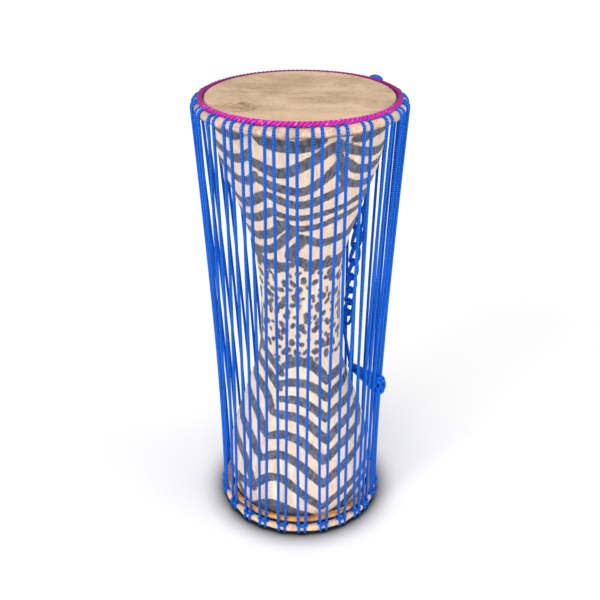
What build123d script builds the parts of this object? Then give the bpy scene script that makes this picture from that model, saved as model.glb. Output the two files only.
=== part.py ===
from build123d import *
import os
from math import cos, degrees, dist, pi, radians, sin

os.makedirs("parts", exist_ok=True)

# An hourglass talking drum: a carved wooden shell with a skin at each end, and one
# zigzag lacing that pulls the hoops of the two skins together. Squeezing the lacing
# draws the upper hoop down and raises the pitch. The origin is on the floor, on the
# drum's axis. Angles are measured from the front (-Y) towards the right (+X).

# Lacing cord
bight_count = 26  # turns of the zigzag at each hoop
cord_diameter = 3.1
cord_facets = 6
tight_cord = 2.2  # the cord where it is drawn tight round a hoop, square in section
cord_lead = 3.0  # of straight cord between a strand and its first bend at a hoop
strand_gap = 0.3  # between a strand and the turn that it runs into

# The hand-spaced hitches and bights that show at the front, in degrees. The first bight
# is on the left of the first hitch, and the rest of each ring is spaced evenly
shown_hitches = [-76.0, -57.7, -41.2, -27.8, -13.0, 1.3, 16.9, 31.8, 46.1, 56.8]
shown_bights = [-66.0, -50.5, -38.3, -27.3, -15.0, -3.7, 8.5, 21.2, 35.3, 51.0]

# A lower hitch, from its middle: its strands, its turns in front of the hoop, its turns
# behind the hoop, and the ends of the bar that holds the strands
hitch_strand = 4.1
hitch_front = 3.2
hitch_back = 5.8
hitch_bar = 4.4

# An upper bight, from its middle: its strands, its turn over the roll, its closed end
bight_strand = 3.9
bight_over = 3.6
bight_end = 2.6
bight_end_turn = 130.0  # degrees round the roll to its closed end

# Wooden shell. Its flanks are (share of the way from the waist's radius to the belly's,
# height above the foot) and (share of the way to the mouth's, depth below the mouth)
shell_height = 455.0
shell_wall = 8.0
rim_width = 4.0
foot_radius = 73.0
belly_radius = 80.0
belly_height = 42.0
waist_radius = 40.9
waist_height = 239.0
mouth_radius = 88.2
lower_flank = [(0.83, 83.0), (0.47, 129.0), (0.087, 179.0)]
upper_flank = [(0.08, 161.0), (0.368, 111.0), (0.732, 61.0)]
outer_steps = 16
inner_steps = 8

# Skins, the bent hoops that they are lapped round, the rope and the cane ring
skin_thickness = 0.8
top_skirt_depth = 9.0
bottom_skirt_height = 5.0
upper_stock_radius = 3.0
lower_stock_radius = 2.9
lap_thickness = 0.95
lap_slit = 4.2  # between the lap's two edges, on the side of the shell
rope_radius = 2.6
rope_inset = 1.85  # of the rope from the upper hoop, towards the axis
cane_radius = 3.3
cane_inset = 2.0  # of the cane ring from the lower hoop, towards the axis

# Clearances
skin_fit = 0.05
wrap_gap = 0.45  # between a hoop and the cord drawn round it
seat_gap = 0.2  # between the cord round a hoop and the ring on that cord
roll_gap = 1.5  # between the upper skirt and the roll, which slides past it
foot_gap = 3.2  # between the foot and the cord behind the lower hoop
leg_gap = 0.6  # between the cane ring and the strands in front of it
bar_lift = 0.7  # of a hitch's bar over the strands that it holds
knot_gap = 0.5  # between a knot or plait and the cord that meets it
floor_cut = 0.24  # worn flat under the lower hitches
membrane_rise = 1.6  # of the lower skin above the floor

# The stretch that an arm squeezes, and the hitches whose strands it takes
squeeze_low = 235.0
squeeze_high = 325.0
arm_hitches = 3
first_arm_hitch = 11
knee_height = 86.0  # where the lacing stands nearest to the axis
knee_inset = 1.0
strand_bow = 2.2  # of the squeezed stretch's middle, from a straight line

# The lacing's leftover tail: a lead from the upper knot, chain stitches, a straight drop
# and a thick plait to the knot that ties it to two strands
tail_knot_angle = 134.5
tail_knot_radius = 5.5
tail_knot_turn = 20.0  # degrees up round the roll
tail_facets = 5
lead_angle = 128.0
lead_turn = 3.0
lead_drop = 12.0  # from the strands' tops to the lead outside the cage
lead_entry = 32.0  # from the strands' tops to the lead inside the cage
lead_inset = 4.0
chain_top = (66.0, 54.0, 372.0)
chain_end = (52.0, 54.0, 186.0)
chain_stitches = 10
first_stitch = 25.0
last_stitch = 12.0
stitch_gap = 0.5
drop_end = (57.0, 45.0, 137.0)
plait_radius = 3.6
plait_knot_radius = 6.0
plait_overrun = 1.8  # of the plait past the drop's end
plait_inset = 9.5  # from the lacing to the plait's end behind the side knot
plait_beside = 9.0
side_knot_hitch = 10
side_knot_height = 160.0
side_knot_radius = 8.5
side_knot_length = 24.0
side_knot_inset = 2.0
knot_levels = [-0.5, -0.3, 0.0, 0.3, 0.5]  # shares of a knot's length
knot_curve = 2.0  # radians of a knot's round side

# A chain stitch's shape: shares of its pitch, of its depth and of its width
shoulder = 0.65
leg_tuck = 0.1
back_tuck = 0.2
arch_side = 0.35
arch_tip = 1.2
arch_width = 0.55

# Facets of everything that is round
ring_sides = 36
stock_sides = 8
facet_growth = 2 / (1 + cos(pi / ring_sides))

# Worked-out places
corner = 1 / cos(pi / stock_sides)
lower_roll = lower_stock_radius + skin_fit + lap_thickness
upper_roll = upper_stock_radius + skin_fit + lap_thickness
lower_hug = lower_roll + wrap_gap + tight_cord / 2
upper_hug = upper_roll + wrap_gap + tight_cord / 2
lower_hoop_z = lower_hug + tight_cord / 2 - floor_cut
lower_hoop_radius = foot_radius + skin_thickness + foot_gap + lower_hug + tight_cord / 2
foot_z = membrane_rise + skin_thickness
mouth_z = foot_z + shell_height
skirt_radius = mouth_radius + skin_fit + skin_thickness
upper_hoop_radius = skirt_radius + roll_gap + upper_roll
rope_z = mouth_z + skin_thickness
upper_hoop_z = rope_z - rope_radius - seat_gap - tight_cord / 2 - upper_hug
cane_z = lower_hoop_z + lower_hug + tight_cord / 2 + 2 * seat_gap + cane_radius
cane_ring_radius = lower_hoop_radius - cane_inset
leg_radius = cane_ring_radius + cane_radius + leg_gap + tight_cord / 2
strand_bottom_z = cane_z + cane_radius + cord_diameter / 2
strand_top_z = upper_hoop_z - 2 * cord_diameter
strand_top_radius = upper_hoop_radius + upper_hug


def spot(angle, radius, height, along=0.0):
    """A point at an angle from the front, moved `along` to the right of it."""
    a = radians(angle)
    outward = Vector(sin(a), -cos(a), 0)
    sideways = Vector(cos(a), sin(a), 0)
    return outward * radius + sideways * along + Vector(0, 0, height)


def flat_sided(layers):
    """A solid with flat sides, through rings that have as many corners each."""
    faces = [Face(Wire.make_polygon(layers[0])), Face(Wire.make_polygon(layers[-1]))]
    for low, high in zip(layers, layers[1:]):
        for i in range(len(low)):
            faces.append(Face(Wire.make_polygon([low[i - 1], low[i], high[i], high[i - 1]])))
    return Solid(Shell(faces))


def stack(profile, sides=ring_sides, growth=facet_growth):
    """A solid with flat sides round the axis, through (radius, height) pairs."""
    turns = [360 * i / sides for i in range(sides)]
    return flat_sided([[spot(a, radius * growth, height) for a in turns] for radius, height in profile])


def hoop(ring_radius, stock_radius, height):
    """A hoop of round stock, as an outer stack less an inner one."""
    turns = [2 * pi * (i + 0.5) / stock_sides - pi / 2 for i in range(stock_sides // 2)]
    reach = [(stock_radius * corner * cos(a), height + stock_radius * corner * sin(a)) for a in turns]
    with BuildPart() as ring:
        add(stack([(ring_radius + r, z) for r, z in reach]))
        add(stack([(ring_radius - r, z) for r, z in reach]), mode=Mode.SUBTRACT)
    return ring.part


def lapped_skin(ring_radius, stock_radius, height):
    """The skin's edge turned round a hoop, open in a slit on the side of the shell."""
    slit_radius = ring_radius - stock_radius / 2
    slit = stack([(slit_radius, height - lap_slit / 2), (slit_radius, height + lap_slit / 2)])
    with BuildPart() as lap:
        add(hoop(ring_radius, stock_radius + skin_fit + lap_thickness, height))
        add(hoop(ring_radius, stock_radius + skin_fit, height), mode=Mode.SUBTRACT)
        add(slit, mode=Mode.SUBTRACT)
    return lap.part


def round_cord(points, facets=cord_facets):
    """A round cord along a route, mitred at its bends."""
    ways = [(b - a).normalized() for a, b in zip(points, points[1:])]
    turns = [2 * pi * i / facets for i in range(facets)]
    corners = [(cord_diameter / 2 * cos(a), cord_diameter / 2 * sin(a), 0) for a in turns]
    rings = [[Plane(points[0], z_dir=ways[0]).from_local_coords(Vector(c)) for c in corners]]
    for point, way, onward in zip(points[1:], ways, ways[1:] + ways[-1:]):
        mitre = (way + onward).normalized()
        rings.append([c + way * ((point - c).dot(mitre) / way.dot(mitre)) for c in rings[-1]])
    return flat_sided(rings)


def tight_turns(half_route):
    """A cord drawn tight round a hoop: half its route, and the mirror image of that."""
    points = half_route + [Vector(-p.X, p.Y, p.Z) for p in reversed(half_route)]
    with BuildPart() as turns:
        with BuildLine():
            Polyline(*points)
        with BuildSketch(Plane(points[0], x_dir=(1, 0, 0), z_dir=points[1] - points[0])):
            Rectangle(tight_cord, tight_cord)
        sweep(transition=Transition.RIGHT)
    return turns.part


def round_hoop(ring_radius, height, hug, turn, along):
    """A point of a cord round a hoop: `turn` degrees up from the hoop's outer side."""
    a = radians(turn)
    return spot(degrees(along / ring_radius), ring_radius + hug * cos(a), height + hug * sin(a))


def all_round(shown):
    """The angles of a ring's turns: those that show at the front, then the rest evenly."""
    rest = bight_count - len(shown)
    step = (360 + shown[0] - shown[-1]) / (rest + 1)
    return shown + [shown[-1] + step * (i + 1) for i in range(rest)]


def turned(angles):
    """Places turned about the drum's axis."""
    return [Location((0, 0, 0), (0, 0, angle)) for angle in angles]


hitch_angles = all_round(shown_hitches)
bight_angles = all_round(shown_bights)
bottom_angle = degrees(hitch_strand / leg_radius)
top_angle = degrees(bight_strand / strand_top_radius)
knee_radius = leg_radius - knee_inset
squeeze_middle = (squeeze_low + squeeze_high) / 2


def lacing_radius(height):
    """The lacing's radius between its knee and the middle of the squeezed stretch."""
    share = (height - knee_height) / (strand_top_z - knee_height)
    bow = strand_bow * (height - knee_height) / (squeeze_middle - knee_height)
    return knee_radius + share * (strand_top_radius - knee_radius) - bow


strand_line = [
    (strand_bottom_z + strand_gap, leg_radius),
    (knee_height, knee_radius),
    (squeeze_middle, lacing_radius(squeeze_middle)),
    (strand_top_z - strand_gap, strand_top_radius),
]


def strand(number, side):
    """The cord from the left (-1) or right (1) of a hitch up to the bight on that side."""
    turns, bight = divmod(number + max(0, side), bight_count)
    low = hitch_angles[number] + side * bottom_angle
    high = bight_angles[bight] + 360 * turns - side * top_angle
    points = []
    for height, radius in strand_line:
        share = (height - strand_bottom_z) / (strand_top_z - strand_bottom_z)
        points.append(spot(low + share * (high - low), radius, height))
    return round_cord(points)


strands = [[strand(n, -1), strand(n, 1)] for n in range(bight_count)]


def strands_of(first, count):
    """The strands of some neighbouring hitches."""
    return [cord for i in range(first, first + count) for cord in strands[i % bight_count]]


# The carved shell
with BuildLine(Plane.XZ) as outline:
    below = [(waist_radius + s * (belly_radius - waist_radius), height) for s, height in lower_flank]
    above = [(waist_radius + s * (mouth_radius - waist_radius), shell_height - d) for s, d in upper_flank]
    foot = [(foot_radius, 0), (belly_radius, belly_height)]
    Spline(*foot, *below, (waist_radius, waist_height), *above, (mouth_radius, shell_height))
outer_wall = [outline.edges()[0] @ (i / outer_steps) for i in range(outer_steps + 1)]
inner_wall = [outline.edges()[0] @ (i / inner_steps) for i in range(inner_steps + 1)]
bore = [(p.X - shell_wall, p.Z + foot_z) for p in inner_wall]
bore[0] = (foot_radius - rim_width, foot_z)
bore[-1] = (mouth_radius - rim_width, mouth_z)
shell_block = stack([(p.X, p.Z + foot_z) for p in outer_wall])
shell_bore = stack(bore)
with BuildPart() as shell:
    add(shell_block)
    add(shell_bore, mode=Mode.SUBTRACT)
shell.part.label = "shell"
export_step(shell.part, "parts/shell.step")

# The upper skin: the membrane over the mouth and its skirt down the shell
skirt_foot_z = mouth_z - top_skirt_depth
skin_block = stack([(skirt_radius, skirt_foot_z), (skirt_radius, mouth_z + skin_thickness)])
skin_seat = stack([(mouth_radius + skin_fit, skirt_foot_z), (mouth_radius + skin_fit, mouth_z)])
with BuildPart() as top_skin:
    add(skin_block)
    add(skin_seat, mode=Mode.SUBTRACT)
top_skin.part.label = "top_skin"
export_step(top_skin.part, "parts/top_skin.step")

# The lower skin: the membrane under the foot and its skirt up the flaring foot
foot_flare = (outer_wall[1].X - outer_wall[0].X) / (outer_wall[1].Z - outer_wall[0].Z)
seat_radius = foot_radius + skin_fit
seat_top = (seat_radius + foot_flare * bottom_skirt_height, foot_z + bottom_skirt_height)
lower_edge = seat_radius + skin_thickness
lower_seat = stack([(seat_radius, foot_z), seat_top])
lower_block = stack(
    [(lower_edge, membrane_rise), (lower_edge, foot_z), (seat_top[0] + skin_thickness, seat_top[1])]
)
with BuildPart() as bottom_skin:
    add(lower_block)
    add(lower_seat, mode=Mode.SUBTRACT)
bottom_skin.part.label = "bottom_skin"
export_step(bottom_skin.part, "parts/bottom_skin.step")

# The bent hoops, and the skins' edges lapped round them
upper_stock = hoop(upper_hoop_radius, upper_stock_radius, upper_hoop_z)
with BuildPart() as top_flesh_hoop:
    add(upper_stock)
top_flesh_hoop.part.label = "top_flesh_hoop"
export_step(top_flesh_hoop.part, "parts/top_flesh_hoop.step")

upper_lap = lapped_skin(upper_hoop_radius, upper_stock_radius, upper_hoop_z)
with BuildPart() as top_skin_lap:
    add(upper_lap)
top_skin_lap.part.label = "top_skin_lap"
export_step(top_skin_lap.part, "parts/top_skin_lap.step")

lower_stock = hoop(lower_hoop_radius, lower_stock_radius, lower_hoop_z)
with BuildPart() as bottom_flesh_hoop:
    add(lower_stock)
bottom_flesh_hoop.part.label = "bottom_flesh_hoop"
export_step(bottom_flesh_hoop.part, "parts/bottom_flesh_hoop.step")

lower_lap = lapped_skin(lower_hoop_radius, lower_stock_radius, lower_hoop_z)
with BuildPart() as bottom_skin_lap:
    add(lower_lap)
bottom_skin_lap.part.label = "bottom_skin_lap"
export_step(bottom_skin_lap.part, "parts/bottom_skin_lap.step")

# The twisted rope on the upper roll, and the cane ring on the lower hitches
rope_stock = hoop(upper_hoop_radius - rope_inset, rope_radius, rope_z)
with BuildPart() as rope_ring:
    add(rope_stock)
rope_ring.part.label = "rope_ring"
export_step(rope_ring.part, "parts/rope_ring.step")

cane_stock = hoop(cane_ring_radius, cane_radius, cane_z)
with BuildPart() as cane_ring:
    add(cane_stock)
cane_ring.part.label = "cane_ring"
export_step(cane_ring.part, "parts/cane_ring.step")

# A lower hitch: each strand goes down the front of the hoop, under it, up behind it
# and over the top, into a bar that crosses in front of both strands
strand_bottom = spot(bottom_angle, leg_radius, strand_bottom_z)
strand_fall = (strand_bottom - spot(bottom_angle, knee_radius, knee_height)).normalized()
leg_foot_z = lower_hoop_z + lower_hug + tight_cord
hitch_route = [
    strand_bottom,
    strand_bottom + strand_fall * cord_lead,
    spot(degrees(hitch_front / leg_radius), leg_radius, leg_foot_z),
]
turn_step = 360 / stock_sides
spread_turns = stock_sides / 2
for i in range(stock_sides + 1):
    spread = min(1, max(0, (i + 1 - spread_turns) / spread_turns))
    along = hitch_front + (hitch_back - hitch_front) * spread
    turn = 90 - turn_step * (i + 0.5)
    hitch_route.append(round_hoop(lower_hoop_radius, lower_hoop_z, lower_hug * corner, turn, along))
bar_hug = lower_hug + tight_cord + bar_lift
hitch_route.append(round_hoop(lower_hoop_radius, lower_hoop_z, bar_hug, turn_step, hitch_bar))
one_hitch = tight_turns(hitch_route)
with BuildPart() as hoop_hitches:
    with Locations(*turned(hitch_angles)):
        add(one_hitch)
    split(bisect_by=Plane.XY, keep=Keep.TOP)
hoop_hitches.part.label = "hoop_hitches"
export_step(hoop_hitches.part, "parts/hoop_hitches.step")

# An upper bight: up the outside of the roll, over it under the rope, and across behind it
strand_top = spot(-top_angle, strand_top_radius, strand_top_z)
strand_middle = spot(-top_angle, lacing_radius(squeeze_middle), squeeze_middle)
strand_rise = (strand_top - strand_middle).normalized()
bight_route = [strand_top, strand_top + strand_rise * cord_lead]
for turn, along in ((-0.5, bight_strand), (0.5, bight_strand), (1.5, bight_strand), (2.5, bight_over)):
    over = upper_hug * corner
    bight_route.append(round_hoop(upper_hoop_radius, upper_hoop_z, over, turn * turn_step, -along))
bight_route.append(round_hoop(upper_hoop_radius, upper_hoop_z, upper_hug, bight_end_turn, -bight_end))
one_bight = tight_turns(bight_route)
with BuildPart() as top_bights:
    with Locations(*turned(bight_angles)):
        add(one_bight)
top_bights.part.label = "top_bights"
export_step(top_bights.part, "parts/top_bights.step")

# The strands: whole ones at the front and back
half_count = bight_count // 2
first_back_hitch = first_arm_hitch + arm_hitches
whole_hitches = half_count - arm_hitches
with BuildPart() as front_strands:
    add(strands_of(first_back_hitch + half_count, whole_hitches))
front_strands.part.label = "front_strands"
export_step(front_strands.part, "parts/front_strands.step")

with BuildPart() as back_strands:
    add(strands_of(first_back_hitch, whole_hitches))
back_strands.part.label = "back_strands"
export_step(back_strands.part, "parts/back_strands.step")

# The strands at the sides, parted above and below the stretch that is squeezed
low_cut = Plane.XY.offset(squeeze_low)
high_cut = Plane.XY.offset(squeeze_high)
for side, first in (("arm_side", first_arm_hitch), ("body_side", first_arm_hitch + half_count)):
    stretches = {"lower": [], "middle": [], "upper": []}
    for cord in strands_of(first, arm_hitches):
        above_low = split(cord, bisect_by=low_cut, keep=Keep.TOP)
        stretches["lower"].append(split(cord, bisect_by=low_cut, keep=Keep.BOTTOM))
        stretches["middle"].append(split(above_low, bisect_by=high_cut, keep=Keep.BOTTOM))
        stretches["upper"].append(split(above_low, bisect_by=high_cut, keep=Keep.TOP))
    for stretch, cords in stretches.items():
        with BuildPart() as side_strands:
            add(cords)
        side_strands.part.label = f"{side}_{stretch}"
        export_step(side_strands.part, f"parts/{side}_{stretch}.step")


def knot(middle, radius, length):
    """A knot's bulk: wide at its middle and drawn in at both ends."""
    profile = [(radius * cos(level * knot_curve), level * length) for level in knot_levels]
    return Pos(*middle) * stack(profile, stock_sides, 1)


# The knot that starts the tail, on the outside of the upper roll
tail_knot_hug = upper_hug + tight_cord / 2 + knot_gap + tail_knot_radius
tail_knot_reach = upper_hoop_radius + tail_knot_hug * cos(radians(tail_knot_turn))
tail_knot_z = upper_hoop_z + tail_knot_hug * sin(radians(tail_knot_turn))
tail_knot_middle = spot(tail_knot_angle, tail_knot_reach, tail_knot_z)
tail_knot_bulk = knot(tail_knot_middle, tail_knot_radius, 2 * tail_knot_radius)
with BuildPart() as tail_knot:
    add(tail_knot_bulk)
tail_knot.part.label = "tail_knot"
export_step(tail_knot.part, "parts/tail_knot.step")

# The tail: a lead into the cage, chain stitches that each pull through the last, a drop
eye = (cord_diameter + stitch_gap) / 2
arm = 3 * eye
depth = cord_diameter + stitch_gap
chain_start = Vector(*chain_top)
down = (Vector(*chain_end) - chain_start).normalized()
outward = Vector(chain_top[0], chain_top[1], 0).normalized()
across = down.cross(outward).normalized()
facing = across.cross(down)


def stitch(start, pitch):
    """One chain stitch: through the last loop, round its own arch and back behind."""
    leg = [(eye, 0, 0), (eye, depth, leg_tuck * depth)]
    leg += [(arm, depth, shoulder * pitch), (arm, 0, pitch + arch_side * depth)]
    leg += [(arch_width * arm, 0, pitch + arch_tip * depth)]
    loop = [(-a, d, s) for a, d, s in leg] + leg[::-1]
    behind = [(eye, -depth, back_tuck * depth), (-eye, -depth, pitch - back_tuck * depth)]
    return [start + across * a + facing * d + down * s for a, d, s in loop + behind]


tail_route = [
    tail_knot_middle - Vector(0, 0, tail_knot_radius + cord_diameter / 4 + knot_gap),
    spot(lead_angle + lead_turn, strand_top_radius + lead_turn, strand_top_z - lead_drop),
    spot(lead_angle, strand_top_radius - lead_inset, strand_top_z - lead_entry),
    chain_start - down * 2 * depth - facing * depth,
    chain_start - across * eye - facing * depth,
]
place = chain_start
for i in range(chain_stitches):
    pitch = first_stitch + (last_stitch - first_stitch) * i / (chain_stitches - 1)
    tail_route += stitch(place, pitch)
    place = place + down * pitch
tail_route += [place + down * 2 * depth - facing * depth, Vector(*drop_end)]
tail_cord = round_cord(tail_route, tail_facets)
with BuildPart() as tail_chain:
    add(tail_cord)
tail_chain.part.label = "tail_chain"
export_step(tail_chain.part, "parts/tail_chain.step")

# The tail's least gap to itself, on points a millimetre or so apart
beads = []
travel = 0.0
for a, b in zip(tail_route, tail_route[1:]):
    run = (b - a).length
    count = max(1, round(run))
    beads += [(travel + run * i / count, tuple(a + (b - a) * (i / count))) for i in range(count)]
    travel += run
far = 4 * cord_diameter
least = min(dist(p, q) for i, (s, p) in enumerate(beads) for t, q in beads[i:] if t - s > far)
print(f"tail: {travel:.0f} mm of cord, least gap to itself {least - cord_diameter:.2f} mm")

# The knot round two strands, and the plait that leads the tail to it
side_knot_angle = hitch_angles[side_knot_hitch]
side_reach = lacing_radius(side_knot_height)
side_knot_middle = spot(side_knot_angle, side_reach - side_knot_inset, side_knot_height)
side_knot_bulk = knot(side_knot_middle, side_knot_radius, side_knot_length)
with BuildPart() as side_knot:
    add(side_knot_bulk)
    add(strands_of(side_knot_hitch, 1), mode=Mode.SUBTRACT)
side_knot.part.label = "side_knot"
export_step(side_knot.part, "parts/side_knot.step")

plait_end = spot(side_knot_angle, side_reach - plait_inset, side_knot_height, plait_beside)
drop_foot = Vector(*drop_end) - Vector(0, 0, plait_radius + knot_gap)
plait_way = (plait_end - drop_foot).normalized()
plait_start = drop_foot - plait_way * plait_overrun
plait_taper = [(plait_radius, 0), (plait_knot_radius, (plait_end - plait_start).length)]
plait_bulk = Plane(plait_start, z_dir=plait_way).location * stack(plait_taper, stock_sides, 1)
with BuildPart() as tail_plait:
    add(plait_bulk)
tail_plait.part.label = "tail_plait"
export_step(tail_plait.part, "parts/tail_plait.step")
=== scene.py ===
"""Looks of a laced hourglass talking drum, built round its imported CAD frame."""
import random
from math import atan2, cos, degrees, exp, pi, radians, sin, sqrt

import bpy
import numpy as np
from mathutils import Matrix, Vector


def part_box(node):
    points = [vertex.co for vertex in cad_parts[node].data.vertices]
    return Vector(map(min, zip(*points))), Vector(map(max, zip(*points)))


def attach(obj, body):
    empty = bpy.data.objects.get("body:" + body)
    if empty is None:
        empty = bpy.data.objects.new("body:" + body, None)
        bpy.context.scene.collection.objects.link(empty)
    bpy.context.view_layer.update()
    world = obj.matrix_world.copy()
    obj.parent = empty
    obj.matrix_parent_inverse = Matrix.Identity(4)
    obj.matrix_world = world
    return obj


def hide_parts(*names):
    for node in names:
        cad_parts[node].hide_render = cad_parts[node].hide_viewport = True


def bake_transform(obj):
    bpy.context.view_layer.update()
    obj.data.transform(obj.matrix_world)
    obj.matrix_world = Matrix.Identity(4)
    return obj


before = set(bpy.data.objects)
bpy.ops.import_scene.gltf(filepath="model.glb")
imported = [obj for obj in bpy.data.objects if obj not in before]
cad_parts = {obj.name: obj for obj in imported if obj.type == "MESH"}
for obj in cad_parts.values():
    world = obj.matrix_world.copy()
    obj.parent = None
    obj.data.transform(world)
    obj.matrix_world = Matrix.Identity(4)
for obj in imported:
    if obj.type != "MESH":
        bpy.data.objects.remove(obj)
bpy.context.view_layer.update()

# Lengths are in millimetres until a piece is made. Angles are in degrees from the front
# (-Y) towards the right (+X).
MM = 0.001

# The photograph's camera
photo_size = 600
focal_pixels = 876.6
eye = np.array([0.0, -803.7, 676.5])
pitch_down = 28.4
sensor_width = 36.0

# Lacing, repeated from the CAD source
bight_count = 26
cord_radius = 1.55
cord_lead = 3.0
shown_hitches = [-76.0, -57.7, -41.2, -27.8, -13.0, 1.3, 16.9, 31.8, 46.1, 56.8]
shown_bights = [-66.0, -50.5, -38.3, -27.3, -15.0, -3.7, 8.5, 21.2, 35.3, 51.0]
hitch_strand, hitch_front = 4.1, 3.2
bight_strand, bight_over, bight_end, bight_end_turn = 3.9, 3.6, 2.6, 130.0
knee_height, knee_inset = 86.0, 1.0
squeeze_low, squeeze_high, strand_bow = 235.0, 325.0, 2.2
arm_hitches, first_arm_hitch = 3, 11
leg_gap = 1.7  # from the cane ring's side to the middle of the strands in front of it
# Lengths of a side strand's top and of any other's that give as the upper hoop comes down
hoop_stretch, long_stretch = 25.0, 75.0

# Cord drawn tight round the hoops
wrap_room = 1.55  # from a roll to the middle of the cord round it
lower_wrap_radius, lower_wrap_hug = 1.35, 4.95
upper_wrap_radius, upper_wrap_hug = 1.5, 5.9
lower_slim, upper_slim = 12.0, 10.0  # of cord, over which it narrows to its tight size
octant = 45.0  # between the points of a turn round a hoop
bar_lift = 2.6
hitch_back, hitch_bar = 5.2, 3.8
hitch_octants, first_octant = 9, 1.5  # points of a hitch round the hoop, and the first's place in octants
spread_start, spread_run = 3, 4  # the point where the hitch's cords start to part, and in how many more

# The rolls as they look, drawn up between the cords
upper_look_radius, upper_look_rise = 4.9, 1.85
bight_rise = 1.5
lower_look_radius, lower_look_drop = 3.9, 0.4

# Shell: (radius, height above the foot), then (radius, depth below the mouth)
shell_height = 455.0
foot_z = 2.4
shell_lower = [(73.0, 0.0), (80.0, 42.0), (73.3, 83.0), (59.3, 129.0), (44.3, 179.0), (40.9, 239.0)]
shell_upper = [(44.7, 161.0), (58.3, 111.0), (75.5, 61.0), (88.2, 0.0)]
shell_turns, shell_rows = 300, 260
rim_width = 4.0

# The tail
tail_knot_angle, tail_knot_radius, tail_knot_turn, knot_gap = 134.5, 5.5, 20.0, 0.5
tail_knot_look = (8.0, 5.5, 4.6)  # half its size across, outwards and up
knot_weave = (5, 7)  # leads and bights of the balls
knot_points = 90  # in each lead
knot_wave, knot_round, knot_least = 0.09, 0.94, 0.12  # the weave, lift and least girth of a ball
knot_shade_depths = (0.72, 0.98)  # shares of a ball's size between which painted shade darkens it
lead_angle, lead_turn, lead_drop, lead_entry, lead_inset = 128.0, 3.0, 12.0, 32.0, 4.0
chain_top = np.array([66.0, 54.0, 372.0])
chain_end = np.array([52.0, 54.0, 186.0])
chain_stitches, first_stitch, last_stitch, stitch_gap = 10, 25.0, 12.0, 0.5
shoulder, leg_tuck, back_tuck = 0.65, 0.1, 0.2
arch_side, arch_tip, arch_width = 0.35, 1.2, 0.55
drop_end = np.array([57.0, 45.0, 137.0])
plait_radius, plait_inset, plait_beside = 3.6, 5.0, 4.0
plait_cords, plait_weave, plait_points = 4, 18.0, 90
plait_across, plait_deep = 2.6, 1.8  # how far its cords swing
plait_swell, plait_thick = (0.8, 1.6), (1.5, 0.7)  # of the swing and the cords: at its start, and gained
side_knot_hitch, side_knot_height = 10, 160.0
side_knot_radius, side_knot_half = 8.5, 12.0
side_knot_turn, side_knot_out = 3.5, 1.5  # towards the front and out of the cage, as it looks
slack_radius = 1.85  # of the cord where nothing pulls it

# Sides of the cords as tubes: the lacing's, the chain's, and the knots' and plait's
cord_sides, chain_sides, knot_sides = 10, 9, 8
# Points of a smooth line to each point of its route
strand_spans, hitch_spans, bight_spans, tail_spans = 40, 5, 6, 5
strand_step = 5.0  # between a strand's points

facet_growth = 2 / (1 + cos(pi / 36))
corner = 1 / cos(pi / 8)


def ring(node):
    """(ring radius, height, stock radius) of a CAD hoop, in millimetres."""
    low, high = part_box(node)
    stock = (high.z - low.z) / 2 / MM
    return high.x / MM / facet_growth - stock, (high.z + low.z) / 2 / MM, stock


upper_radius, upper_z, upper_roll = ring("top_skin_lap")
lower_radius, lower_z, _ = ring("bottom_skin_lap")
rope_ring_radius, rope_z, rope_radius = ring("rope_ring")
cane_ring_radius, cane_z, cane_radius = ring("cane_ring")
upper_hug = upper_roll + wrap_room
leg_radius = cane_ring_radius + cane_radius + leg_gap
strand_bottom_z = cane_z + cane_radius + cord_radius
strand_top_z = upper_z - 4 * cord_radius
strand_top_radius = upper_radius + upper_hug


def spot(angle, radius, height, along=0.0):
    """A point at an angle from the front, moved `along` to the right of it."""
    a = radians(angle)
    x = radius * sin(a) + along * cos(a)
    y = -radius * cos(a) + along * sin(a)
    return np.array([x, y, height])


def turn_about_axis(points, angle):
    """Points turned about the drum's axis."""
    a = radians(angle)
    turn = np.array([[cos(a), -sin(a), 0], [sin(a), cos(a), 0], [0, 0, 1]])
    return np.asarray(points) @ turn.T


def unit(vector):
    """A vector made one long."""
    return vector / np.linalg.norm(vector)


def smooth_line(points, per_span=8):
    """Points along the smooth NURBS line that a route's points control."""
    curve = bpy.data.curves.new("route", "CURVE")
    curve.dimensions = "3D"
    spline = curve.splines.new("NURBS")
    spline.points.add(len(points) - 1)
    for control, point in zip(spline.points, points):
        control.co = (*point, 1)
    spline.order_u = 3
    spline.use_endpoint_u = True
    spline.resolution_u = per_span
    carrier = bpy.data.objects.new("route", curve)
    mesh = bpy.data.meshes.new_from_object(carrier)
    line = np.array([v.co for v in mesh.vertices])
    bpy.data.objects.remove(carrier)
    bpy.data.curves.remove(curve)
    bpy.data.meshes.remove(mesh)
    return line


def travel_along(line):
    """How far along a line each of its points lies."""
    return np.concatenate([[0], np.cumsum(np.linalg.norm(np.diff(line, axis=0), axis=1))])


def resample(line, step):
    """The same line with its points about `step` apart."""
    travel = travel_along(line)
    places = np.linspace(0, travel[-1], max(2, round(travel[-1] / step)))
    return np.column_stack([np.interp(places, travel, line[:, i]) for i in range(3)])


def cut_by_height(line, low, high):
    """The stretch of a rising line between two heights."""
    inside = line[(line[:, 2] > low) & (line[:, 2] < high)]
    ends = [[np.interp(z, line[:, 2], line[:, i]) for i in range(3)] for z in (low, high)]
    keep_low = [ends[0]] if low > line[0, 2] else []
    keep_high = [ends[1]] if high < line[-1, 2] else []
    return np.array(keep_low + inside.tolist() + keep_high)


steep = 0.9  # upward share of a line's direction past which it counts as upright


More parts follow.
